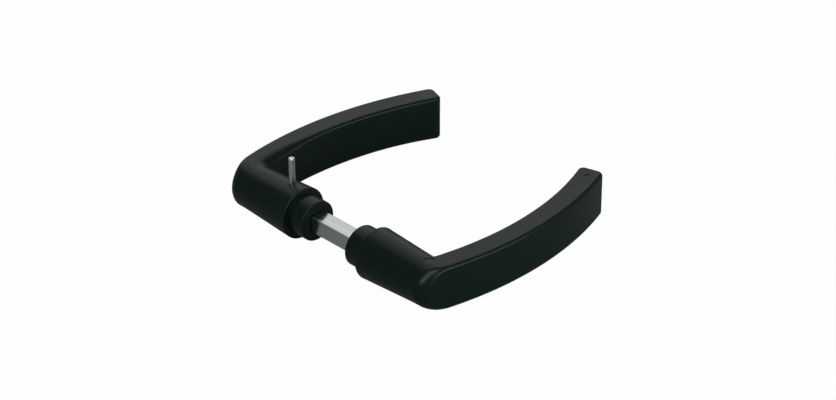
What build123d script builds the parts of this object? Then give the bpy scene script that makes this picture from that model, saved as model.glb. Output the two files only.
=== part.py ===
"""A pair of moulded gate handles on one square spindle, each held to it by a drive pin.

The spindle lies along Y, both levers point to +X and Z is up. The origin is on the
spindle's axis, midway between the two neck faces. Both handles are the same moulding:
the near one, at -Y, is the far one turned half a turn about X.
"""
import os
from math import sqrt

from build123d import *

os.makedirs("parts", exist_ok=True)

# Spindle: the square bar that passes through the gate
spindle_side = 8.0
spindle_length = 100.0
spindle_end_chamfer = 0.8
spindle_edge_radius = 0.3

# Neck: the tapered round part of a handle, with the collar that turns in the gate's plate
face_gap = 47.6
collar_diameter = 19.4
collar_length = 9.5
collar_lead_in = 0.6
neck_face_diameter = 25.0
neck_rim_chamfer = 0.5

# Lever: a slab with a bowed plan, as high as the neck is thick at the elbow
lever_height = 21.7
lever_reach = 108.2
lever_thickness = 11.7
bow_place = 41.0
bow_crest = 47.7
outer_bow_radius = 180.4
inner_bow_radius = 164.3
elbow_lead = 1.2
elbow_round_radius = 5.0
elbow_round_margin = 0.3
lever_edge_radius = 1.6
tip_lean = 4.3
tip_corner_radius = 3.0

# Bore: the square hole that takes the spindle, opened a little at its mouth
bore_clearance = 0.1
bore_end_clearance = 0.3
bore_lead_in = 0.4

# Drive pin: driven down through the neck's wall into the spindle's cross hole
pin_diameter = 3.0
pin_length = 20.0
pin_head_chamfer = 0.25
pin_tip_chamfer = 0.6
pin_setback = 7.4
pin_standout = 13.6
pin_hole_clearance = 0.08
pin_hole_spare = 1.0
cross_hole_clearance = 0.3

# Round marks that the mould's ejectors leave on one side of the lever
elbow_mark_diameter = 5.0
elbow_mark_x = 1.5
tip_mark_diameter = 2.4
tip_mark_inset = 4.3
mark_depth = 0.25

# Places and radii worked out from the sizes above
face_y = face_gap / 2
collar_end_y = face_y - collar_length
half_height = lever_height / 2
collar_radius = collar_diameter / 2
neck_face_radius = neck_face_diameter / 2
outer_crest_y = face_y + bow_crest
inner_crest_y = outer_crest_y - lever_thickness
bore_side = spindle_side + 2 * bore_clearance
bore_end_y = spindle_length / 2 + bore_end_clearance
pin_y = face_y + pin_setback


def bowed_y(x: float, crest_y: float, radius: float) -> float:
    """Place of a bowed side of the lever at a distance from the spindle's axis."""
    return crest_y - radius + sqrt(radius**2 - (x - bow_place) ** 2)


elbow_y = bowed_y(0, inner_crest_y, inner_bow_radius) + elbow_lead


def neck_radius(y: float) -> float:
    """Radius of the tapered neck at a place along the spindle's axis."""
    return neck_face_radius - (neck_face_radius - half_height) * (y - face_y) / (elbow_y - face_y)


outer_tip_x = lever_reach + tip_lean
outer_tip = (outer_tip_x, bowed_y(outer_tip_x, outer_crest_y, outer_bow_radius))
inner_tip = (lever_reach, bowed_y(lever_reach, inner_crest_y, inner_bow_radius))
elbow_side_x = -half_height - elbow_round_margin
elbow_point = (elbow_side_x, bowed_y(elbow_side_x, outer_crest_y, outer_bow_radius))
inner_point = (elbow_side_x, bowed_y(elbow_side_x, inner_crest_y, inner_bow_radius))
neck_end_y = bowed_y(half_height, inner_crest_y, inner_bow_radius) + elbow_lead
pin_seat_z = neck_radius(pin_y)
pin_driven_tip_z = pin_seat_z - pin_length
tip_mark_x = lever_reach - tip_mark_inset
tip_mark_y = (bowed_y(tip_mark_x, outer_crest_y, outer_bow_radius)
              + bowed_y(tip_mark_x, inner_crest_y, inner_bow_radius)) / 2

# Far handle
with BuildPart() as far_handle:
    # The lever's plan, rounded on the outside of the elbow
    with BuildSketch(Plane.XY) as plan:
        with BuildLine():
            ThreePointArc(elbow_point, (bow_place, outer_crest_y), outer_tip)
            Line(outer_tip, inner_tip)
            ThreePointArc(inner_tip, (bow_place, inner_crest_y), inner_point)
            Line(inner_point, elbow_point)
        make_face()
        fillet(plan.vertices().group_by(Axis.X)[0].sort_by(Axis.Y)[-1], elbow_round_radius)
    extrude(amount=lever_height, both=True)

    # Its section: flat above and below, and half round on the elbow's side
    with BuildSketch(Plane.XZ.offset(-elbow_y)):
        with BuildLine():
            ThreePointArc((0, half_height), (-half_height, 0), (0, -half_height))
            Polyline((0, -half_height), (2 * lever_reach, -half_height),
                     (2 * lever_reach, half_height), (0, half_height))
        make_face()
    extrude(amount=lever_reach, both=True, mode=Mode.INTERSECT)
    fillet(far_handle.faces().sort_by(Axis.X)[-1].edges().filter_by(Axis.Z), tip_corner_radius)
    lever_top = far_handle.faces().filter_by(Axis.Z).sort_by(Axis.Z)[-1]
    fillet(lever_top.edges().filter_by(GeomType.CIRCLE).sort_by(Axis.Y)[-1], lever_edge_radius)

    # The neck and the collar, turned about the spindle's axis
    with BuildSketch(Plane.XY):
        with BuildLine():
            Polyline((0, neck_end_y), (0, collar_end_y), (collar_radius, collar_end_y),
                     (collar_radius, face_y), (neck_face_radius, face_y),
                     (neck_radius(neck_end_y), neck_end_y), (0, neck_end_y))
        make_face()
    revolve(axis=Axis.Y)

    # Broken edges of the neck and the collar
    neck_face = far_handle.faces().filter_by(Axis.Y).sort_by(Axis.Y)[1]
    chamfer(neck_face.edges().sort_by(SortBy.RADIUS)[-1], neck_rim_chamfer)
    chamfer(far_handle.edges().sort_by(Axis.Y)[0], collar_lead_in)

    # The square bore and its opened mouth
    with BuildSketch(Plane.XZ.offset(-collar_end_y)):
        Rectangle(bore_side, bore_side)
    extrude(amount=-(bore_end_y - collar_end_y), mode=Mode.SUBTRACT)
    collar_end = far_handle.faces().filter_by(Axis.Y).sort_by(Axis.Y)[0]
    chamfer(collar_end.edges().filter_by(GeomType.LINE), bore_lead_in)

    # The pin hole, open above and blind in the lower wall
    with Locations((0, pin_y, neck_face_radius)):
        Hole(pin_diameter / 2 + pin_hole_clearance,
             depth=neck_face_radius - pin_driven_tip_z + pin_hole_spare)

    # The ejector marks underneath
    with Locations((elbow_mark_x, elbow_y, -half_height)):
        Cylinder(elbow_mark_diameter / 2, 2 * mark_depth, mode=Mode.SUBTRACT)
    with Locations((tip_mark_x, tip_mark_y, -half_height)):
        Cylinder(tip_mark_diameter / 2, 2 * mark_depth, mode=Mode.SUBTRACT)

far_handle.part.label = "far_handle"
export_step(far_handle.part, "parts/far_handle.step")

# Near handle: the same moulding turned over
with BuildPart() as near_handle:
    add(far_handle.part.rotate(Axis.X, 180))

near_handle.part.label = "near_handle"
export_step(near_handle.part, "parts/near_handle.step")

# Spindle
with BuildPart() as spindle:
    Box(spindle_side, spindle_length, spindle_side)
    end_faces = spindle.faces().filter_by(Axis.Y)
    chamfer(end_faces.edges(), spindle_end_chamfer)
    fillet(spindle.edges().filter_by(Axis.Y), spindle_edge_radius)
    with Locations((0, pin_y, spindle_side / 2), (0, -pin_y, spindle_side / 2)):
        Hole(pin_diameter / 2 + cross_hole_clearance)

spindle.part.label = "spindle"
export_step(spindle.part, "parts/spindle.step")

# Far pin: started in its hole, with its head still above the neck
with BuildPart() as far_pin:
    with Locations((0, pin_y, pin_driven_tip_z + pin_standout + pin_length / 2)):
        Cylinder(pin_diameter / 2, pin_length)
    chamfer(far_pin.faces().sort_by(Axis.Z)[-1].edges(), pin_head_chamfer)
    chamfer(far_pin.faces().sort_by(Axis.Z)[0].edges(), pin_tip_chamfer)

far_pin.part.label = "far_pin"
export_step(far_pin.part, "parts/far_pin.step")

# Near pin: driven home, so its head is level with the neck
with BuildPart() as near_pin:
    add(far_pin.part.moved(Location((0, 0, -pin_standout))).rotate(Axis.X, 180))

near_pin.part.label = "near_pin"
export_step(near_pin.part, "parts/near_pin.step")
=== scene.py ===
"""Looks for a pair of moulded gate handles that face each other on a square steel spindle.

Every size is in millimetres until a mesh is made, and then in metres, in the frame of the
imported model: the spindle lies along Y, both levers point to +X and Z is up.
"""
import logging
from collections.abc import Callable
from dataclasses import dataclass, field
from enum import Enum

import bpy
import numpy as np
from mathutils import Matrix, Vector


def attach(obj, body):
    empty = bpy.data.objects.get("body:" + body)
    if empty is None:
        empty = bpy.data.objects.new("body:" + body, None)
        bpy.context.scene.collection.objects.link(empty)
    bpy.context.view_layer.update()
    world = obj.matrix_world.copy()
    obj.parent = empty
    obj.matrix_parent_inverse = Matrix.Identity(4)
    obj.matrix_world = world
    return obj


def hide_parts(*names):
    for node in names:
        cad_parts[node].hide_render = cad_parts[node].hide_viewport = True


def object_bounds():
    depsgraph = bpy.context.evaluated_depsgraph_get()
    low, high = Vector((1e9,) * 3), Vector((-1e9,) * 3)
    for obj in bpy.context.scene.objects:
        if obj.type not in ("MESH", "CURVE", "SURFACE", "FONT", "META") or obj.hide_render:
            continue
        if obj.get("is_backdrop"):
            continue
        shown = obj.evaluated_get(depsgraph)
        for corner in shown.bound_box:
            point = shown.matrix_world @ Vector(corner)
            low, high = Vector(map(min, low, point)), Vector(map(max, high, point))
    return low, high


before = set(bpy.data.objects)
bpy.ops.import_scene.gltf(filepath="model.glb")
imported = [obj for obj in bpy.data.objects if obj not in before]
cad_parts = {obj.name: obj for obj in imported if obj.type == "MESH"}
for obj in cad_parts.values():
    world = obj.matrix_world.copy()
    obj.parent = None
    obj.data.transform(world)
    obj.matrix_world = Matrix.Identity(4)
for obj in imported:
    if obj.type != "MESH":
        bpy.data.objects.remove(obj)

LOG = logging.getLogger("gate_handles")
MM = 0.001
PHOTO_WIDTH = 836
PHOTO_HEIGHT = 400

# Along a ray: steps walked, and how often the last step is halved
WALK_STEPS = 40
HALVINGS = 26

# On a mesh: the angle from which an edge is sharp, and the bends of a broad and of a tight
# round, in radians per millimetre
SHARP_DEGREES = 32.0
ROUND_BENDS = (0.1, 0.3)
EDGE_NAME = "edge"

Array = np.ndarray
Measure = Callable[[Array], Array]
Pair = tuple[float, float]
Tone = tuple[float, float, float]
Socket = bpy.types.NodeSocket

UNIT: Pair = (0.0, 1.0)


def both_rounded(a: Array, b: Array, radius: Array | float) -> Array:
    """Depth of what lies in both of two shapes, with their shared edge rounded.

    In words: where a point is within the radius of both surfaces, its distance is taken
    from the rounding's centre line, and elsewhere it is the larger of the two depths.

    Args:
        a: Signed depth in the first shape, negative inside.
        b: Signed depth in the second shape.
        radius: Radius of the rounding.

    Returns:
        The signed depth in the rounded overlap.
    """
    over = np.hypot(np.maximum(a + radius, 0), np.maximum(b + radius, 0))
    return over + np.minimum(np.maximum(a + radius, b + radius), 0) - radius


def either_filled(a: Array, b: Array, radius: Array | float) -> Array:
    """Depth of what lies in either of two shapes, with the corner between them filled.

    In words: where a point is within the radius of both surfaces, the corner is filled up
    to a hollow round of that radius, and elsewhere the depth is the smaller of the two.

    Args:
        a: Signed depth in the first shape, negative inside.
        b: Signed depth in the second shape.
        radius: Radius of the hollow round.

    Returns:
        The signed depth in the joined shape.
    """
    under = np.hypot(np.maximum(radius - a, 0), np.maximum(radius - b, 0))
    return np.maximum(radius, np.minimum(a, b)) - under


def eased(span: Pair, value: Array) -> Array:
    """Rises from 0 at a span's start to 1 at its end along 3t^2 - 2t^3, and is level outside."""
    t = np.clip((value - span[0]) / (span[1] - span[0]), 0.0, 1.0)
    return t * t * (3.0 - 2.0 * t)


def cast(depth: Measure, start: Array, direction: Array, reach: float) -> Array:
    """Finds where rays from inside a shape first leave it.

    In words: each ray is walked in equal steps to its first point outside, and that step
    is halved until the surface is found.

    Args:
        depth: The shape's signed depth.
        start: Points inside the shape.
        direction: Unit directions, one for each point.
        reach: Length walked along each ray.

    Returns:
        The points on the surface.
    """
    low = np.zeros(start.shape[:-1])
    high = np.full(start.shape[:-1], reach)
    found = np.zeros(start.shape[:-1], bool)
    for step in range(1, WALK_STEPS + 1):
        far = reach * step / WALK_STEPS
        outside = depth(start + direction * far) > 0
        high = np.where(outside & ~found, far, high)
        found |= outside
        low = np.where(found, low, far)
    for _ in range(HALVINGS):
        middle = (low + high) / 2
        outside = depth(start + direction * middle[..., None]) > 0
        high = np.where(outside, middle, high)
        low = np.where(outside, low, middle)
    return start + direction * ((low + high) / 2)[..., None]


def spread_angles(count: int, corners: list[float], gather: float, width: float) -> Array:
    """Angles once round a section, closer together near its corners.

    In words: the angles are equal steps of a running total that grows faster, by a bell
    curve, near each corner.

    Args:
        count: How many angles.
        corners: Angles of the corners, in radians.
        gather: How much closer the angles are at a corner.
        width: Half width of each bell curve, in radians.

    Returns:
        The angles, rising from 0.
    """
    fine = np.linspace(0.0, 2.0 * np.pi, 7201)
    away = np.angle(np.exp(1j * (fine[:, None] - np.array(corners)[None, :])))
    weight = 1.0 + gather * np.exp(-((away / width) ** 2)).sum(axis=1)
    total = np.concatenate([[0.0], np.cumsum((weight[1:] + weight[:-1]) / 2)])
    return np.interp(np.arange(count) * total[-1] / count, total, fine)


@dataclass
class Shell:
    """A closed surface put together from grids of points, rings and caps."""

    points: list[Array] = field(default_factory=list)
    quads: list[Array] = field(default_factory=list)
    triangles: list[Array] = field(default_factory=list)
    size: int = 0

    def place(self, points: Array) -> Array:
        """Takes points in.

        Args:
            points: Points in any layout.

        Returns:
            The points' numbers, in the same layout.
        """
        flat = points.reshape(-1, 3)
        numbers = self.size + np.arange(len(flat))
        self.points.append(flat)
        self.size += len(flat)
        return numbers.reshape(points.shape[:-1])

    def at(self, numbers: Array) -> Array:
        """Gives the points that have these numbers."""
        return np.concatenate(self.points)[numbers]

    def ring(self, last: Array, plan: Array, height: Array | float) -> Array:
        """Adds a closed ring and joins it to the last one by a strip of quads.

        Args:
            last: Numbers of the last ring, which has as many points.
            plan: The new ring's plan points.
            height: Their height, or heights.

        Returns:
            Numbers of the new ring.
        """
        ring = self.place(np.column_stack([plan, np.broadcast_to(height, len(plan))]))
        self.quads.append(np.stack([last, np.roll(last, -1), np.roll(ring, -1), ring], axis=-1))
        return ring

    def grid(self, numbers: Array, open_cells: Array) -> None:
        """Joins the rows of a grid that closes on itself.

        Args:
            numbers: The points' numbers, row by row.
            open_cells: True for each cell that is left out.
        """
        across = np.roll(numbers, -1, axis=1)
        cells = np.stack([numbers[:-1], across[:-1], across[1:], numbers[1:]], axis=-1)
        self.quads.append(cells[~open_cells])

    def cap(self, loop: Array, centre: Array | list[float], ahead: bool) -> None:
        """Closes a loop onto one point.

        Args:
            loop: Numbers of the loop.
            centre: The point.
            ahead: Whether the point comes after the loop.
        """
        tip = self.place(np.array([centre], float))
        after = np.roll(loop, -1)
        sides = (loop, after) if ahead else (after, loop)
        self.triangles.append(np.stack([*sides, np.broadcast_to(tip, len(loop))], axis=-1))

    def mesh(self, name: str, turn: Array) -> bpy.types.Mesh:
        """Makes a mesh in metres, turned by a matrix, with its faces pointing outwards.

        In words: the wedges from the origin to all triangles add up to the volume. Where
        it comes out negative, each face is taken the other way round.

        Args:
            name: Name of the mesh.
            turn: A 3 by 3 rotation.

        Returns:
            The mesh, smooth but for its sharp creases.
        """
        points = np.concatenate(self.points) @ turn.T * MM
        quads = np.concatenate(self.quads)
        fans = np.concatenate(self.triangles)
        triangles = np.concatenate([fans, quads[:, [0, 1, 2]], quads[:, [0, 2, 3]]])
        a, b, c = (points[triangles[:, k]] for k in range(3))
        way = -1 if np.einsum("ij,ij->i", a, np.cross(b, c)).sum() < 0 else 1
        mesh = bpy.data.meshes.new(name)
        mesh.from_pydata(points, [], [*quads[:, ::way].tolist(), *fans[:, ::way].tolist()])
        mesh.validate()
        mesh.polygons.foreach_set("use_smooth", np.ones(len(mesh.polygons), bool))
        mesh.set_sharp_from_angle(angle=np.radians(SHARP_DEGREES))
        mesh.update()
        self.mark_edges(mesh, points)
        return mesh

    def mark_edges(self, mesh: bpy.types.Mesh, points: Array) -> None:
        """Notes on each point how far it lies on a rounded outer edge.

        In words: along each line of the mesh, the bend is twice the height of one end over
        the other's tangent plane, over the square of the line's length. A point's mark is
        the mean bend of its lines, from 0 on a broad round to 1 on a tight one.

        Args:
            mesh: The mesh.
            points: Its points, in metres.
        """
        ends = np.empty(len(mesh.edges) * 2, np.int32)
        mesh.edges.foreach_get("vertices", ends)
        ends = ends.reshape(-1, 2)
        normals = np.empty(len(points) * 3, np.float32)
        mesh.vertex_normals.foreach_get("vector", normals)
        normals = normals.reshape(-1, 3)
        both = np.concatenate([ends, ends[:, ::-1]])
        away = points[both[:, 0]] - points[both[:, 1]]
        square = np.maximum(np.einsum("ij,ij->i", away, away), 1e-12)
        bend = 2.0 * np.einsum("ij,ij->i", away, normals[both[:, 0]]) / square * MM
        total = np.bincount(both[:, 0], np.clip(bend, 0.0, 1.0), len(points))
        count = np.maximum(np.bincount(both[:, 0], minlength=len(points)), 1)
        mark = np.interp(total / count, ROUND_BENDS, UNIT)
        marks = mesh.attributes.new(EDGE_NAME, "FLOAT", "POINT")
        marks.data.foreach_set("value", mark.astype(np.float32))


@dataclass(frozen=True)
class RoundInset:
    """A round hole or shallow mark let into a grid, with its axis along Z."""

    x: float
    y: float
    radius: float
    reach: float
    upward: bool = False

    def cut(self, rows: Array, numbers: Array, open_cells: Array, part: slice) -> Array:
        """Opens the block of grid cells that the inset takes the place of.

        Args:
            rows: The grid's points.
            numbers: Their numbers.
            open_cells: The grid's open cells, to which the block is added.
            part: The rows that may belong to the block.

        Returns:
            Numbers of the points once round the block, in the order of its cells.
        """
        x, y, z = np.moveaxis(rows[part], -1, 0)
        level = z if self.upward else -z
        hit = (np.hypot(x - self.x, y - self.y) < self.reach) & (level > 0)
        top, bottom = np.flatnonzero(hit.any(axis=1))[[0, -1]] + part.start
        left, right = np.flatnonzero(hit.any(axis=0))[[0, -1]]
        open_cells[top:bottom, left:right] = True
        return np.concatenate([
            numbers[top, left:right],
            numbers[top:bottom, right],
            numbers[bottom, right:left:-1],
            numbers[bottom:top:-1, left],
        ])

    def collar(self, shell: Shell, border: Array, surface: Measure | float) -> Array:
        """Fills from the block's border to the inset's circle.

        In words: each border point is drawn towards the circle's point at the same angle,
        in a few rings, and each ring is set down on the surface.

        Args:
            shell: The surface being put together.
            border: Numbers of the border's points.
            surface: The surface's height, or what gives it at plan points.

        Returns:
            Numbers of the circle's points.
        """
        plan = shell.at(border)[:, :2]
        circle = self.circle(self.angles(plan))
        last = border
        for share in (0.4, 0.7, 0.88, 1.0):
            drawn = plan + (circle - plan) * share
            last = shell.ring(last, drawn, surface(drawn) if callable(surface) else surface)
        return last

    def angles(self, points: Array) -> Array:
        """Angles of points about the inset's axis."""
        return np.arctan2(points[:, 1] - self.y, points[:, 0] - self.x)

    def circle(self, angles: Array) -> Array:
        """Plan points of the inset's circle at these angles."""
        way = np.column_stack([np.cos(angles), np.sin(angles)])
        return np.array([self.x, self.y]) + self.radius * way


class Side(Enum):
    """Which of the pair's two handles a moulding is, by the name of its solid."""

    FAR = "far_handle"
    NEAR = "near_handle"

    @property
    def body(self) -> str:
        """Name of the body that the handle belongs to."""
        return "far_handle" if self is Side.FAR else "near_side"

    @property
    def turn(self) -> Array:
        """Rotation from the far handle's place: none, or half a turn about X."""
        return np.diag([1.0, 1.0, 1.0] if self is Side.FAR else [1.0, -1.0, -1.0])


@dataclass
class MouldedHandle:
    """One moulded handle, worked out in the far handle's place."""

    side: Side

    # Neck and collar, round about the spindle's axis
    face_y: float = 23.8
    face_radius: float = 12.48
    rim: float = 0.5
    collar_end_y: float = 14.3
    collar_radius: float = 9.7
    collar_edge: float = 0.4
    collar_root: float = 0.12
    neck_end_y: float = 59.4
    taper_soft: float = 0.004

    # Lever, between two bowed walls
    half_height: float = 10.85
    half_thickness: float = 6.0
    reach: float = 108.2
    tip_lean: float = 4.3
    tip_corner: float = 3.0
    edge: float = 1.6
    bow_place: float = 41.0
    outer_crest: float = 71.49
    outer_bow: float = 180.4
    inner_crest: float = 59.8
    inner_bow: float = 164.3

    # Elbow: its rounds, and the spans over which they grow
    elbow_y: float = 55.8
    elbow_edge: float = 5.0
    elbow_span: Pair = (4.0, -8.0)
    corner_edge: float = 5.5
    corner_span: Pair = (46.0, 6.0)
    corner_fill: float = 1.3
    fill_span: Pair = (-1.0, 6.0)
    corner_soft: float = 0.6
    soft_x: float = 7.0
    soft_width: float = 6.0
    middle_span: Pair = (-3.0, 3.0)

    # Bore and pin hole, and how far out the grid is opened for the hole
    bore_half: float = 4.1
    bore_end_y: float = 50.3
    bore_lead: float = 0.4
    pin_y: float = 31.2
    pin_hole_radius: float = 1.58
    pin_hole_floor: float = -8.88
    mouth_reach: float = 2.7
    bore_hole_reach: float = 2.4

    # What the mould leaves: the ridge at its joint, and two round marks underneath
    seam_height: float = 0.02
    seam_width: float = 0.18
    mark_depth: float = 0.32
    elbow_mark_place: Pair = (0.8, 57.5)
    elbow_mark_radius: float = 2.5
    elbow_mark_reach: float = 3.3
    tip_mark_inset: float = 4.3
    tip_mark_radius: float = 1.2
    tip_mark_reach: float = 1.9

    # Rows and rays: where rows lie close, and how the planes turn round the elbow
    hole_rows_span: float = 4.2
    fine_rows_end: float = 36.0
    fine_rows_step: float = 0.45
    pivot: Pair = (17.0, 51.0)
    pivot_last: float = 12.2
    pivot_bulge: float = 2.5
    fan_x: float = 97.5
    ray_count: int = 176
    ray_reach: float = 40.0
    seam_rays: tuple[float, ...] = (0.012, 0.028, 0.045)

    def bowed_y(self, x: Array | float, crest: float, radius: float) -> Array | float:
        """Place of a bowed side of the lever at a distance from the spindle's axis."""
        return crest - radius + np.sqrt(radius**2 - (x - self.bow_place) ** 2)

    def neck_radius(self, y: Array | float) -> Array | float:
        """Radius of the neck, which tapers evenly from its face to the elbow."""
        share = (y - self.face_y) / (self.elbow_y - self.face_y)
        return self.face_radius + (self.half_height - self.face_radius) * share

    def round_radius(self, y: Array | float) -> Array | float:
        """Radius of the neck and of the elbow's round side, with a soft change between them."""
        above = self.neck_radius(y) - self.half_height
        return self.half_height + (above + np.sqrt(above**2 + self.taper_soft)) / 2

    def seam(self, z: Array) -> Array:
        """Height of the fine ridge that the mould's joint leaves at mid height."""
        return self.seam_height * np.exp(-((z / self.seam_width) ** 2))

    def depth(self, p: Array) -> Array:
        """Signed depth in the lever, elbow and neck, negative inside.

        In words: the lever lies between two bowed walls and a leaning tip, and in a section
        that is flat above and below and half round beyond the spindle's axis. Its edges
        are rounded more towards the elbow, and the neck joins it by a hollow corner.

        Args:
            p: Points, in millimetres.

        Returns:
            The depth of each point.
        """
        x, y, z = p[..., 0], p[..., 1], p[..., 2]
        outer = np.hypot(x - self.bow_place, y - self.outer_crest + self.outer_bow) - self.outer_bow
        inner = self.inner_bow - np.hypot(x - self.bow_place, y - self.inner_crest + self.inner_bow)
        inner_tip_y = self.bowed_y(self.reach, self.inner_crest, self.inner_bow)
        outer_tip_y = self.bowed_y(self.reach + self.tip_lean, self.outer_crest, self.outer_bow)
        rise = outer_tip_y - inner_tip_y
        tip = (x - self.reach) * rise - (y - inner_tip_y) * self.tip_lean
        walls = both_rounded(np.maximum(outer, inner), tip / np.hypot(rise, self.tip_lean), self.tip_corner)
        radius = self.round_radius(y)
        section = np.hypot(np.minimum(x, 0), z) - radius
        outer_edge = self.edge + (self.elbow_edge - self.edge) * eased(self.elbow_span, x)
        corner = eased(self.corner_span, x) * eased(self.middle_span, z)
        inner_edge = self.edge + (self.corner_edge - self.edge) * corner
        edge = inner_edge + (outer_edge - inner_edge) * eased(self.middle_span, outer - inner)
        lever = both_rounded(walls, section, edge)
        neck = np.maximum(np.hypot(x, z) - radius, y - self.neck_end_y)
        whole = either_filled(lever, neck, self.corner_fill * eased(self.fill_span, x))
        away = ((x - self.soft_x) / self.soft_width) ** 2 + ((y - self.elbow_y) / self.soft_width) ** 2
        soft = self.corner_soft * np.exp(-away)
        return both_rounded(whole, section, soft) + self.seam_height - self.seam(z)

    def ray_angles(self) -> Array:
        """Angles of a row's points, closer at the lever's corners and at the mould's joint.

        Returns:
            The angles, rising from 0.
        """
        corner = np.arctan2(self.half_height, self.half_thickness)
        corners = [corner, np.pi - corner, np.pi + corner, -corner]
        spread = spread_angles(self.ray_count, corners, gather=1.6, width=0.16)
        fine = np.array(self.seam_rays)
        whole = np.concatenate([spread, -fine, fine, np.pi - fine, np.pi + fine])
        return np.unique(np.round(np.mod(whole, 2 * np.pi), 6))

    def turned_rows(self, angles: Array) -> tuple[Array, int]:
        """Rows of the bore, collar, face, rim and neck, from the bore's end outwards.

        In words: each row is a square or a circle round the spindle's axis, at its own
        place along it. The square opens a little where the bore meets the collar's end,
        and the neck has the ridge of the mould's joint on it.

        Args:
            angles: Angles round the axis, from -X upwards.

        Returns:
            Rows of points, and how many of them are the bore's.
        """
        square = self.bore_half / np.maximum(np.abs(np.cos(angles)), np.abs(np.sin(angles)))

        # Rows lie close where the pin hole is let in, and further apart elsewhere
        hole_rows = np.linspace(self.pin_y + self.hole_rows_span, self.pin_y - self.hole_rows_span, 17)
        mouth_rows = [22.0, self.collar_end_y + 3.0, self.collar_end_y + self.bore_lead]
        bore_y = np.concatenate([[self.bore_end_y, 42.0], hole_rows, mouth_rows])
        collar_y = np.linspace(self.collar_end_y + 1.4, self.face_y - 1.4, 5)
        neck_y = np.concatenate([
            np.arange(self.face_y + self.rim + 0.5, self.fine_rows_end, self.fine_rows_step),
            np.linspace(self.fine_rows_end + 0.6, self.pivot[1] - 0.8, 16),
        ])

        # The outline that is turned: the collar's edge, its side and root, the rim and the neck
        quarter = np.radians(np.linspace(0.0, 90.0, 8))
        up, back = np.sin(quarter), 1 - np.cos(quarter)
        end_radius = self.collar_radius - self.collar_edge
        rim_radius = self.neck_radius(self.face_y + self.rim) - self.rim
        profile_radius, profile_y = np.concatenate([
            (end_radius + self.collar_edge * up, self.collar_end_y + self.collar_edge * back),
            (np.full(len(collar_y), self.collar_radius), collar_y),
            (self.collar_radius + self.collar_root * back, self.face_y + self.collar_root * (up - 1)),
            (rim_radius + self.rim * up, self.face_y + self.rim * back),
            (self.neck_radius(neck_y), neck_y),
        ], axis=1)
        radius = np.concatenate([
            np.repeat(square[None], len(bore_y), axis=0),
            square[None] * (1 + self.bore_lead / self.bore_half),
            np.repeat(profile_radius[:, None], len(angles), axis=1),
        ])
        place = np.concatenate([bore_y, [self.collar_end_y], profile_y])
        y = np.repeat(place[:, None], len(angles), axis=1)
        z = radius * np.sin(angles)
        on_neck = eased((self.face_y + self.rim, self.face_y + 3.0), y) * (radius > self.collar_radius)
        raised = 1.0 + on_neck * (self.seam(z) - self.seam_height) / radius
        return np.stack([-radius * np.cos(angles) * raised, y, z * raised], axis=-1), len(bore_y) + 1

    def swept_rows(self, angles: Array) -> Array:
        """Rows of the elbow and the lever, each in an upright plane.

        In words: the planes turn about an upright line in the hollow of the inner corner,
        then about the middle of the lever's bow, and last fan out over the tip. In each
        plane, rays from the middle of the section find the surface.

        Args:
            angles: Angles of the rays, from the outer side upwards.

        Returns:
            Rows of points, ending near the middle of the tip.
        """
        pivot = np.array(self.pivot)
        bow_y = (self.outer_crest - self.outer_bow + self.inner_crest - self.inner_bow) / 2
        centre = np.array([self.bow_place, bow_y])
        join = np.arctan2(*(pivot - centre)[::-1])
        share = np.linspace(0.0, 1.0, 84)
        turned = np.pi + (join - np.pi) * share
        elbow_far = pivot[0] + (self.pivot_last - pivot[0]) * share + self.pivot_bulge * np.sin(np.pi * share)
        middle = np.hypot(*(pivot - centre)) + elbow_far[-1]
        last = np.arccos((self.fan_x - self.bow_place) / middle)
        along = np.linspace(join, last, 96)[1:]
        heading = np.concatenate([turned, along])
        out = np.column_stack([np.cos(heading), np.sin(heading)])
        origin = np.concatenate([
            pivot + out[:len(turned)] * elbow_far[:, None],
            centre + out[len(turned):] * middle,
        ])

        # The fan over the tip, in degrees, is closest where it crosses the tip's corners
        steps = [np.linspace(1.5, 36.0, 16), np.linspace(37.2, 66.0, 34), np.linspace(68.0, 86.0, 8)]
        fan = np.radians(np.concatenate(steps))
        tangent = np.array([out[-1, 1], -out[-1, 0]])
        flat = np.concatenate([np.ones(len(heading)), np.cos(fan)])
        forward = np.concatenate([np.zeros(len(heading)), np.sin(fan)])
        out = np.concatenate([out, np.repeat(out[-1:], len(fan), axis=0)])
        origin = np.concatenate([origin, np.repeat(origin[-1:], len(fan), axis=0)])
        level = flat[:, None] * np.cos(angles)[None, :]
        ray = np.stack([
            level * out[:, :1] + forward[:, None] * tangent[0],
            level * out[:, 1:] + forward[:, None] * tangent[1],
            flat[:, None] * np.sin(angles)[None, :],
        ], axis=-1)
        start = np.zeros_like(ray)
        start[..., :2] = origin[:, None, :]
        return cast(self.depth, start, ray, self.ray_reach)

    def shell(self) -> Shell:
        """Puts the whole moulding together as one closed surface.

        Returns:
            The surface.
        """
        angles = self.ray_angles()
        turned, bore_rows = self.turned_rows(angles)
        rows = np.concatenate([turned, self.swept_rows(angles)])
        shell = Shell()
        numbers = shell.place(rows)
        open_cells = np.zeros((len(rows) - 1, len(angles)), bool)
        bore = slice(0, bore_rows)
        neck = slice(bore_rows + 3, len(turned))
        lever = slice(len(turned), len(rows))

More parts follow.
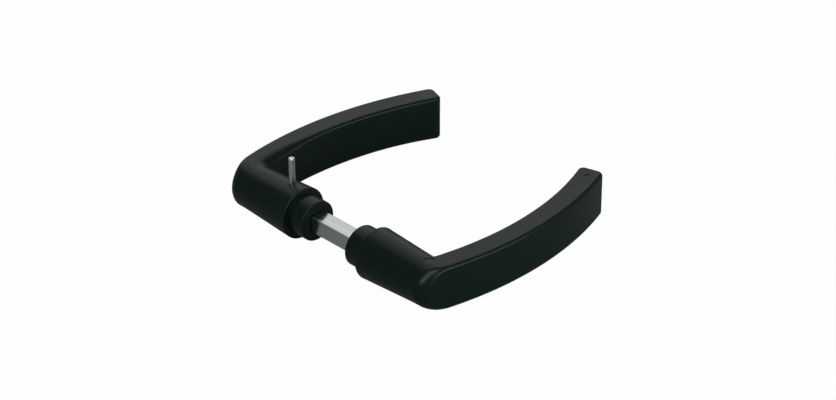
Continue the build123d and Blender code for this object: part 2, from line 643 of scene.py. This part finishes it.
        hole = (0.0, self.pin_y, self.pin_hole_radius)
        mouth = RoundInset(*hole, self.mouth_reach, upward=True)
        roof = RoundInset(*hole, self.bore_hole_reach, upward=True)
        floor = RoundInset(*hole, self.bore_hole_reach)
        elbow_mark = RoundInset(*self.elbow_mark_place, self.elbow_mark_radius, self.elbow_mark_reach)
        tip_x = self.reach - self.tip_mark_inset
        tip_y = (self.bowed_y(tip_x, self.outer_crest, self.outer_bow)
                 + self.bowed_y(tip_x, self.inner_crest, self.inner_bow)) / 2
        tip_mark = RoundInset(tip_x, tip_y, self.tip_mark_radius, self.tip_mark_reach)
        cuts = ((mouth, neck), (roof, bore), (floor, bore), (elbow_mark, lever), (tip_mark, lever))
        borders = [inset.cut(rows, numbers, open_cells, part) for inset, part in cuts]
        shell.grid(numbers, open_cells)

        self.pin_hole(shell, mouth, borders[0], borders[1])
        self.blind_end(shell, floor, borders[2])
        self.ejector_mark(shell, elbow_mark, borders[3])
        self.ejector_mark(shell, tip_mark, borders[4])
        shell.cap(numbers[0], [0.0, self.bore_end_y, 0.0], ahead=False)
        shell.cap(numbers[-1], rows[-1].mean(axis=0), ahead=True)
        return shell

    def neck_top(self, plan: Array) -> Array:
        """Height of the neck's round top."""
        return np.sqrt(self.neck_radius(plan[:, 1]) ** 2 - plan[:, 0] ** 2)

    def underside(self, plan: Array) -> Array:
        """Height of the skin below plan points, found by rays that go straight down.

        Args:
            plan: Plan points within the lever's outline.

        Returns:
            The skin's heights.
        """
        inside, reach = -6.0, 8.0
        start = np.column_stack([plan, np.full(len(plan), inside)])
        down = np.broadcast_to([0.0, 0.0, -1.0], start.shape)
        return cast(self.depth, start, down, reach)[:, 2]

    def pin_hole(self, shell: Shell, mouth: RoundInset, outside: Array, inside: Array) -> None:
        """Joins the hole's mouth in the neck to its opening in the bore's roof.

        In words: rings go down from the mouth's edge and become level on the way, and the
        last one is stitched to the circle in the roof.

        Args:
            shell: The surface being put together.
            mouth: The hole.
            outside: Border of the block opened in the neck.
            inside: Border of the block opened in the bore's roof.
        """
        last = mouth.collar(shell, outside, self.neck_top)
        rim = shell.at(last)
        angles = mouth.angles(rim)
        level = rim[:, 2].min() + 0.2
        for drop in (0.4, 2.0, 4.0, 6.0):
            last = shell.ring(last, mouth.circle(angles), np.minimum(rim[:, 2], level) - drop)
        inner = mouth.collar(shell, inside, self.bore_half)
        self.stitch(shell, last, angles, inner, mouth.angles(shell.at(inner)))

    def stitch(self, shell: Shell, upper: Array, upper_at: Array, lower: Array, lower_at: Array) -> None:
        """Joins two circles whose points differ in number, through one shared set of angles.

        In words: both circles are walked in order of angle, and each new point makes one
        triangle with the last points reached on either circle. The triangles are then
        turned to face the hole's axis.

        Args:
            shell: The surface being put together.
            upper: Numbers of the upper circle's points.
            upper_at: Their angles.
            lower: Numbers of the lower circle's points.
            lower_at: Their angles.
        """
        upper_at, lower_at = np.mod(upper_at, 2 * np.pi), np.mod(lower_at, 2 * np.pi)
        first, second = np.argsort(upper_at), np.argsort(lower_at)
        loop_a, loop_b = upper[first], lower[second]
        order = np.argsort(np.concatenate([upper_at[first], lower_at[second]]), kind="stable")
        is_a = order < len(loop_a)
        a_now = loop_a[(np.cumsum(is_a) - 1) % len(loop_a)]
        b_now = loop_b[(np.cumsum(~is_a) - 1) % len(loop_b)]
        new = np.where(is_a, a_now, b_now)
        triangles = np.stack([np.roll(a_now, 1), np.roll(b_now, 1), new], axis=-1)
        a, b, c = (shell.at(triangles[:, k]) for k in range(3))
        outward = np.column_stack([a[:, 0], a[:, 1] - self.pin_y, np.zeros(len(a))])
        wrong = np.einsum("ij,ij->i", np.cross(b - a, c - a), outward) > 0
        shell.triangles.append(np.where(wrong[:, None], triangles[:, ::-1], triangles))

    def blind_end(self, shell: Shell, floor: RoundInset, border: Array) -> None:
        """Sinks the pin hole's blind end into the bore's floor.

        Args:
            shell: The surface being put together.
            floor: The hole.
            border: Border of the block opened in the bore's floor.
        """
        last = floor.collar(shell, border, -self.bore_half)
        plan = shell.at(last)[:, :2]
        for height in (-self.bore_half - 0.3, self.pin_hole_floor):
            last = shell.ring(last, plan, height)
        shell.cap(last, [floor.x, floor.y, self.pin_hole_floor], ahead=True)

    def ejector_mark(self, shell: Shell, mark: RoundInset, border: Array) -> None:
        """Lets a shallow round mark into the underside.

        In words: the mark's floor is the plane that best fits its rim, raised by the
        mark's depth, and a few rings lead to it from the rim.

        Args:
            shell: The surface being put together.
            mark: The mark.
            border: Border of the block opened for it.
        """
        last = mark.collar(shell, border, self.underside)
        rim = shell.at(last)
        centre = np.array([mark.x, mark.y])
        away = rim[:, :2] - centre
        plane = np.linalg.lstsq(np.column_stack([away, np.ones(len(rim))]), rim[:, 2], rcond=None)[0]
        for share, rise in ((0.98, 0.12), (0.92, 0.78), (0.86, 1.0), (0.5, 1.0)):
            level = away @ plane[:2] * share + plane[2] + self.mark_depth
            height = rim[:, 2] + (level - rim[:, 2]) * rise
            last = shell.ring(last, centre + away * share, height)
        shell.cap(last, [mark.x, mark.y, plane[2] + self.mark_depth], ahead=True)

    def build(self, finish: bpy.types.Material) -> bpy.types.Object:
        """Makes the handle's piece and sets it in place of its solid.

        Args:
            finish: The moulding's material.

        Returns:
            The piece.
        """
        mesh = self.shell().mesh(f"{self.side.value}_moulding", self.side.turn)
        piece = bpy.data.objects.new(mesh.name, mesh)
        bpy.context.scene.collection.objects.link(piece)
        mesh.materials.append(finish)
        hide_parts(self.side.value)
        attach(piece, self.side.body)
        return piece


class NodeSheet:
    """A short hand for laying out a node tree."""

    def __init__(self, tree: bpy.types.NodeTree) -> None:
        """Starts on a tree with its nodes taken out."""
        self.tree = tree
        tree.nodes.clear()

    def add(self, kind: str, values: dict[str, object] | None = None, **settings: object) -> bpy.types.Node:
        """Adds a node.

        Args:
            kind: The node's type.
            values: Input values by socket name.
            settings: The node's own settings.

        Returns:
            The node.
        """
        node = self.tree.nodes.new(kind)
        for name, value in settings.items():
            setattr(node, name, value)
        for name, value in (values or {}).items():
            node.inputs[name].default_value = value
        return node

    def join(self, source: Socket, target: Socket) -> None:
        """Links two sockets."""
        self.tree.links.new(source, target)

    def feed(self, target: Socket, value: object) -> None:
        """Links a socket to another, or sets a plain value on it.

        Args:
            target: The socket that is fed.
            value: A socket, a number or a tone.
        """
        if isinstance(value, Socket):
            self.join(value, target)
        elif isinstance(value, tuple):
            target.default_value = (*value, 1.0)
        else:
            target.default_value = value

    def place(self) -> Socket:
        """Gives the place of each point on the object."""
        return self.add("ShaderNodeTexCoord").outputs["Object"]

    def math(self, operation: str, first: object, second: object) -> Socket:
        """Adds a sum of two sockets or numbers.

        Args:
            operation: What is done with the two.
            first: The first socket or number.
            second: The second.

        Returns:
            The result.
        """
        node = self.add("ShaderNodeMath", operation=operation)
        self.feed(node.inputs[0], first)
        self.feed(node.inputs[1], second)
        return node.outputs[0]

    def weighed(self, first: Socket, second: Socket, weight: float) -> Socket:
        """Adds up two values, the first by its weight and the second by the rest."""
        parts = self.math("MULTIPLY", first, weight), self.math("MULTIPLY", second, 1.0 - weight)
        return self.math("ADD", *parts)

    def span(self, source: Socket, given: Pair, wanted: Pair) -> Socket:
        """Spreads a value from one span over another, and holds it level outside.

        Args:
            source: The value.
            given: The span that the value runs over.
            wanted: The span that it is spread over.

        Returns:
            The new value.
        """
        names = ("From Min", "From Max", "To Min", "To Max")
        node = self.add("ShaderNodeMapRange", dict(zip(names, (*given, *wanted))))
        self.join(source, node.inputs["Value"])
        return node.outputs["Result"]

    def blend(self, share: Socket, first: object, second: object) -> Socket:
        """Mixes two colours.

        Args:
            share: How much of the second colour there is.
            first: The first colour, as a socket or a tone.
            second: The second.

        Returns:
            The mixed colour.
        """
        node = self.add("ShaderNodeMix", data_type="RGBA")
        self.join(share, node.inputs["Factor"])
        colours = [socket for socket in node.inputs if socket.type == "RGBA"]
        self.feed(colours[0], first)
        self.feed(colours[1], second)
        return next(socket for socket in node.outputs if socket.type == "RGBA")

    def noise(self, place: Socket, scale: float, detail: float) -> Socket:
        """Adds an even noise.

        Args:
            place: Where each point lies.
            scale: How many waves there are to a metre.
            detail: How many finer layers lie on it.

        Returns:
            The noise's value.
        """
        node = self.add("ShaderNodeTexNoise", {"Scale": scale, "Detail": detail})
        self.join(place, node.inputs["Vector"])
        return node.outputs[0]

    def take(self, name: str, kind: str) -> Socket:
        """Gives a group a named input, and its socket inside the group."""
        self.tree.interface.new_socket(name=name, in_out="INPUT", socket_type=kind)
        return self.add("NodeGroupInput").outputs[name]

    def give(self, results: dict[str, Socket]) -> None:
        """Gives a group its named outputs.

        Args:
            results: The values inside the group, by name.
        """
        for name in results:
            self.tree.interface.new_socket(name=name, in_out="OUTPUT", socket_type="NodeSocketFloat")
        out = self.add("NodeGroupOutput")
        for name, value in results.items():
            self.join(value, out.inputs[name])

    def shade(self, looks: dict[str, Socket], height: Socket, relief: Pair, plain: dict[str, float]) -> None:
        """Ends a material in its shader, with a fine relief.

        Args:
            looks: What changes over the surface, by the shader's socket.
            height: The relief's height, from 0 to 1.
            relief: The relief's strength, and its depth in metres.
            plain: What is the same all over, by the shader's socket.
        """
        bump = self.add("ShaderNodeBump", {"Strength": relief[0], "Distance": relief[1]})
        self.join(height, bump.inputs["Height"])
        shader = self.add("ShaderNodeBsdfPrincipled", plain)
        for name, value in {**looks, "Normal": bump.outputs["Normal"]}.items():
            self.join(value, shader.inputs[name])
        self.show(shader)

    def show(self, shader: bpy.types.Node) -> None:
        """Makes a shader the material's surface."""
        out = self.add("ShaderNodeOutputMaterial")
        self.join(shader.outputs[0], out.inputs["Surface"])


class Effect(Enum):
    """Surface effects that the finishes are made of, each kept as one node group."""

    GRAIN = "moulded_grain"
    PAINTED_SHEEN = "painted_edge_sheen"
    LINES = "drawn_lines"
    SPECKS = "fine_specks"

    def group(self) -> bpy.types.NodeTree:
        """Gives the effect's node group, laid out the first time it is asked for.

        Returns:
            The group.
        """
        tree = bpy.data.node_groups.get(self.value)
        if tree is None:
            tree = bpy.data.node_groups.new(self.value, "ShaderNodeTree")
            layout = {
                Effect.GRAIN: self.lay_grain,
                Effect.PAINTED_SHEEN: self.lay_painted_sheen,
                Effect.LINES: self.lay_lines,
                Effect.SPECKS: self.lay_specks,
            }[self]
            layout(NodeSheet(tree))
        return tree

    def lay_grain(self, sheet: NodeSheet) -> None:
        """Lays out a fine even grain, and slow waves as thick plastic takes when it cools.

        Args:
            sheet: The group's sheet.
        """
        place = sheet.place()
        fine = sheet.noise(place, scale=4200.0, detail=2.0)
        middle = sheet.noise(place, scale=900.0, detail=2.0)
        waves = sheet.noise(place, scale=42.0, detail=3.0)
        sheet.give({"Height": sheet.weighed(fine, middle, 0.6), "Waves": waves})

    def lay_painted_sheen(self, sheet: NodeSheet) -> None:
        """Lays out a painted sheen, a lighter tone, on the tight rounded edges, in broken patches.

        Args:
            sheet: The group's sheet.
        """
        edge = sheet.add("ShaderNodeAttribute", attribute_name=EDGE_NAME).outputs["Fac"]
        patches = sheet.noise(sheet.place(), scale=150.0, detail=4.0)
        broken = sheet.span(patches, given=(0.3, 0.62), wanted=(0.55, 1.0))
        # Mask of the painted sheen: the tight rounded edges, broken up by slow patches
        sheet.give({"Mask": sheet.math("MULTIPLY", edge, broken)})

    def lay_lines(self, sheet: NodeSheet) -> None:
        """Lays out fine lines along the way that a bar was drawn through its die.

        Args:
            sheet: The group's sheet.
        """
        drawn = sheet.add("ShaderNodeVectorMath", operation="MULTIPLY")
        sheet.join(sheet.place(), drawn.inputs[0])
        sheet.join(sheet.take("Stretch", "NodeSocketVector"), drawn.inputs[1])
        fine = sheet.noise(drawn.outputs[0], scale=5200.0, detail=3.0)
        broad = sheet.noise(drawn.outputs[0], scale=1100.0, detail=3.0)
        streaks = sheet.span(broad, given=(0.34, 0.66), wanted=UNIT)
        sheet.give({"Height": sheet.weighed(fine, broad, 0.4), "Streaks": streaks})

    def lay_specks(self, sheet: NodeSheet) -> None:
        """Lays out sparse specks: a cell pattern's centres, thinned out by a slow noise.

        Args:
            sheet: The group's sheet.
        """
        place = sheet.place()
        cells = sheet.add("ShaderNodeTexVoronoi")
        sheet.join(place, cells.inputs["Vector"])
        sheet.join(sheet.take("Scale", "NodeSocketFloat"), cells.inputs["Scale"])
        centres = sheet.span(cells.outputs["Distance"], given=(0.16, 0.05), wanted=UNIT)
        slow = sheet.noise(place, scale=120.0, detail=2.0)
        thinned = sheet.span(slow, given=(0.56, 0.66), wanted=UNIT)
        sheet.give({"Mask": sheet.math("MULTIPLY", centres, thinned)})

    def use(self, sheet: NodeSheet, **values: object) -> bpy.types.bpy_prop_collection:
        """Sets the group into a material with its input values, and gives its outputs."""
        return sheet.add("ShaderNodeGroup", values, node_tree=self.group()).outputs


def new_material(name: str) -> bpy.types.Material:
    """Makes a material that is laid out in nodes.

    Args:
        name: Name of the material.

    Returns:
        The material.
    """
    material = bpy.data.materials.new(name)
    material.use_nodes = True
    return material


@dataclass(frozen=True)
class PlasticFinish:
    """Black moulded plastic with a fine grain and a painted sheen, a lighter tone, on its rounded edges."""

    name: str = "black_moulding"
    deep: Tone = (0.0009, 0.0092, 0.0083)
    pale: Tone = (0.0017, 0.0118, 0.0107)
    # Lighter tone painted on the tight rounded edges as a sheen, a painted highlight
    sheen_tone: Tone = (0.0034, 0.0140, 0.0127)
    speck: Tone = (0.0320, 0.0360, 0.0350)
    speck_scale: float = 620.0
    roughness: Pair = (0.27, 0.34)
    # Roughness added where the painted sheen lies
    sheen_roughness_gain: float = 0.02
    speck_roughness: float = 0.15
    mirror: float = 0.30
    grain: Pair = (0.7, 0.00002)

    def build(self) -> bpy.types.Material:
        """Lays out the material.

        Returns:
            The material.
        """
        material = new_material(self.name)
        sheet = NodeSheet(material.node_tree)
        grain = Effect.GRAIN.use(sheet)
        # Mask of the painted sheen on the tight rounded edges
        sheen_mask = Effect.PAINTED_SHEEN.use(sheet)["Mask"]
        specks = Effect.SPECKS.use(sheet, Scale=self.speck_scale)["Mask"]
        tone = sheet.blend(grain["Waves"], self.deep, self.pale)
        # Painted sheen: the tight rounded edges are lightened, in broken patches, as a painted highlight
        tone = sheet.blend(sheen_mask, tone, self.sheen_tone)
        tone = sheet.blend(specks, tone, self.speck)
        rough = sheet.span(grain["Waves"], given=UNIT, wanted=self.roughness)
        rough = sheet.math("ADD", rough, sheet.math("MULTIPLY", sheen_mask, self.sheen_roughness_gain))
        rough = sheet.math("ADD", rough, sheet.math("MULTIPLY", specks, self.speck_roughness))
        looks = {"Base Color": tone, "Roughness": rough}
        sheet.shade(looks, grain["Height"], self.grain, {"Specular IOR Level": self.mirror})
        return material


@dataclass(frozen=True)
class SteelFinish:
    """Bright drawn steel, with fine lines along the way that it was drawn."""

    name: str
    stretch: tuple[float, float, float]
    dark: Tone = (0.67, 0.69, 0.69)
    light: Tone = (0.86, 0.88, 0.88)
    spot: Tone = (0.28, 0.30, 0.29)
    spot_scale: float = 900.0
    roughness: Pair = (0.22, 0.10)
    lines: Pair = (0.5, 0.00003)

    def build(self) -> bpy.types.Material:
        """Lays out the material.

        Returns:
            The material.
        """
        material = new_material(self.name)
        sheet = NodeSheet(material.node_tree)
        lines = Effect.LINES.use(sheet, Stretch=self.stretch)
        spots = Effect.SPECKS.use(sheet, Scale=self.spot_scale)["Mask"]
        tone = sheet.blend(lines["Streaks"], self.dark, self.light)
        tone = sheet.blend(spots, tone, self.spot)
        rough = sheet.span(lines["Streaks"], given=UNIT, wanted=self.roughness)
        looks = {"Base Color": tone, "Roughness": rough}
        sheet.shade(looks, lines["Height"], self.lines, {"Metallic": 1.0})
        return material


@dataclass
class SteelPiece:
    """A steel solid whose shape is kept as it is and only given its finish."""

    node: str
    finish: bpy.types.Material

    def dress(self) -> bpy.types.Object:
        """Puts the finish on the solid.

        Returns:
            The piece.
        """
        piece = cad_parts[self.node]
        for slot in piece.material_slots:
            slot.material = self.finish
        return piece


@dataclass
class StudioFloor:
    """A plain pale floor that the camera sees as white, with the object's soft shadow on it."""

    height: float
    half_width: float = 3.0
    tone: Tone = (0.260, 0.306, 0.310)
    white: float = 1.062
    shadow: float = 0.08
    mirrored: float = 0.36
    mirrored_share: float = 0.14

    def build(self) -> bpy.types.Object:
        """Makes the floor and marks it as stage.

        Returns:
            The floor.
        """
        side = np.array([-self.half_width, self.half_width])
        x, y = np.meshgrid(side, side, indexing="ij")
        points = np.column_stack([x.ravel(), y.ravel(), np.full(4, self.height)])
        mesh = bpy.data.meshes.new("studio_floor")
        mesh.from_pydata(points, [], [(0, 2, 3, 1)])
        floor = bpy.data.objects.new("studio_floor", mesh)
        bpy.context.scene.collection.objects.link(floor)
        mesh.materials.append(self.material())
        floor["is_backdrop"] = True
        return floor

    def material(self) -> bpy.types.Material:
        """Lays out the floor's material.

        In words: the camera sees white and a small share of the shaded floor, mirrors see
        a small share of light grey and the shaded floor, and other light the floor alone.

        Returns:
            The material.
        """
        material = new_material("studio_floor")
        sheet = NodeSheet(material.node_tree)
        path = sheet.add("ShaderNodeLightPath").outputs
        camera = path["Is Camera Ray"]
        mirrors = sheet.math("MAXIMUM", path["Is Glossy Ray"], path["Is Transmission Ray"])
        white = sheet.math("MULTIPLY", camera, self.white)
        grey = sheet.math("MULTIPLY", mirrors, self.mirrored)
        glow = sheet.add("ShaderNodeEmission")
        sheet.join(sheet.math("ADD", white, grey), glow.inputs["Strength"])
        camera_share = sheet.math("MULTIPLY", camera, 1.0 - self.shadow)
        mirrors_share = sheet.math("MULTIPLY", mirrors, self.mirrored_share)
        plain = sheet.add("ShaderNodeBsdfDiffuse", {"Color": (*self.tone, 1.0)})
        mix = sheet.add("ShaderNodeMixShader")
        sheet.join(sheet.math("ADD", camera_share, mirrors_share), mix.inputs["Fac"])
        sheet.join(plain.outputs[0], mix.inputs[1])
        sheet.join(glow.outputs[0], mix.inputs[2])
        sheet.show(mix)
        return material


@dataclass(frozen=True)
class Softbox:
    """A flat soft light that faces the object."""

    name: str
    place: tuple[float, float, float]
    width: float
    height: float
    radiance: float
    tone: Tone = (1.0, 1.0, 1.0)

    def build(self, aim: Vector) -> bpy.types.Object:
        """Makes the light.

        Args:
            aim: The point that it faces.

        Returns:
            The light.
        """
        light = bpy.data.lights.new(self.name, "AREA")
        light.shape = "RECTANGLE"
        light.size = self.width
        light.size_y = self.height
        light.energy = 4.0 * self.radiance * self.width * self.height
        light.color = self.tone
        lamp = bpy.data.objects.new(self.name, light)
        lamp.location = self.place
        lamp.rotation_mode = "QUATERNION"
        lamp.rotation_quaternion = (aim - Vector(self.place)).to_track_quat("-Z", "Y")
        bpy.context.scene.collection.objects.link(lamp)
        return lamp


@dataclass
class Studio:
    """Soft light all round, and four softboxes.

    A broad sheet stands behind, a sheet hangs above and a card stands at the left in front,
    and a low strip lies in front to the right.
    """

    aim: tuple[float, float, float] = (0.05, 0.0, 0.0)
    around: float = 0.16
    boxes: tuple[Softbox, ...] = (
        Softbox("back_sheet", (0.66, 0.84, 0.80), 1.5, 1.3, 0.445, (0.98, 0.99, 0.93)),
        Softbox("top_sheet", (-0.50, -0.46, 1.02), 0.75, 0.75, 1.7),
        Softbox("side_card", (-1.02, -0.46, 0.54), 0.40, 0.40, 3.4),
        Softbox("low_strip", (0.29, -1.25, 0.10), 1.25, 0.22, 4.6),
    )

    def build(self) -> None:
        """Makes the surrounding light and the softboxes."""
        world = bpy.data.worlds.new("studio")
        world.use_nodes = True
        surround = world.node_tree.nodes["Background"]
        surround.inputs["Color"].default_value = (self.around, self.around, self.around, 1.0)
        bpy.context.scene.world = world
        for box in self.boxes:
            box.build(Vector(self.aim))


@dataclass
class ProductCamera:
    """The camera that took the photo, as found from the edges of the object in it."""

    azimuth: float = -43.65
    elevation: float = 29.65
    distance: float = 1.32286
    target: tuple[float, float, float] = (0.06417, 0.01591, 0.0)
    focal_pixels: float = 2847.86
    axis_pixel: Pair = (418.19, 171.21)
    sensor: float = 36.0
    clip: Pair = (0.05, 50.0)

    def build(self) -> bpy.types.Object:
        """Makes the camera and lets the scene use it.

        Returns:
            The camera.
        """
        turn, tilt = np.radians(self.azimuth), np.radians(self.elevation)
        back = Vector((np.sin(turn) * np.cos(tilt), -np.cos(turn) * np.cos(tilt), np.sin(tilt)))
        data = bpy.data.cameras.new("product_camera")
        data.sensor_fit = "HORIZONTAL"
        data.sensor_width = self.sensor
        data.lens = self.focal_pixels * self.sensor / PHOTO_WIDTH
        data.shift_x = (PHOTO_WIDTH / 2 - self.axis_pixel[0]) / PHOTO_WIDTH
        data.shift_y = (self.axis_pixel[1] - PHOTO_HEIGHT / 2) / PHOTO_WIDTH
        data.clip_start, data.clip_end = self.clip
        camera = bpy.data.objects.new("product_camera", data)
        camera.location = Vector(self.target) + back * self.distance
        camera.rotation_mode = "QUATERNION"
        camera.rotation_quaternion = (-back).to_track_quat("-Z", "Y")
        bpy.context.scene.collection.objects.link(camera)
        bpy.context.scene.camera = camera
        return camera


def main() -> None:
    """Builds the object, its stage, its light and its camera."""
    logging.basicConfig(level=logging.INFO, format="%(name)s: %(message)s")
    solid_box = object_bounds()
    plastic = PlasticFinish().build()
    for side in Side:
        piece = MouldedHandle(side).build(plastic)
        LOG.info("%s: %d faces", piece.name, len(piece.data.polygons))
    bar = SteelFinish("spindle_steel", stretch=(1.0, 0.015, 1.0)).build()
    pin = SteelFinish("pin_steel", stretch=(1.0, 1.0, 0.02)).build()
    for node, finish in (("spindle", bar), ("far_pin", pin), ("near_pin", pin)):
        piece = SteelPiece(node, finish).dress()
        LOG.info("%s: finish %s", piece.name, finish.name)
    floor = StudioFloor(solid_box[0].z).build()
    LOG.info("%s at %.4f m", floor.name, solid_box[0].z)
    Studio().build()
    ProductCamera().build()
    bpy.context.scene.view_settings.view_transform = "Standard"


if __name__ == "__main__":
    main()
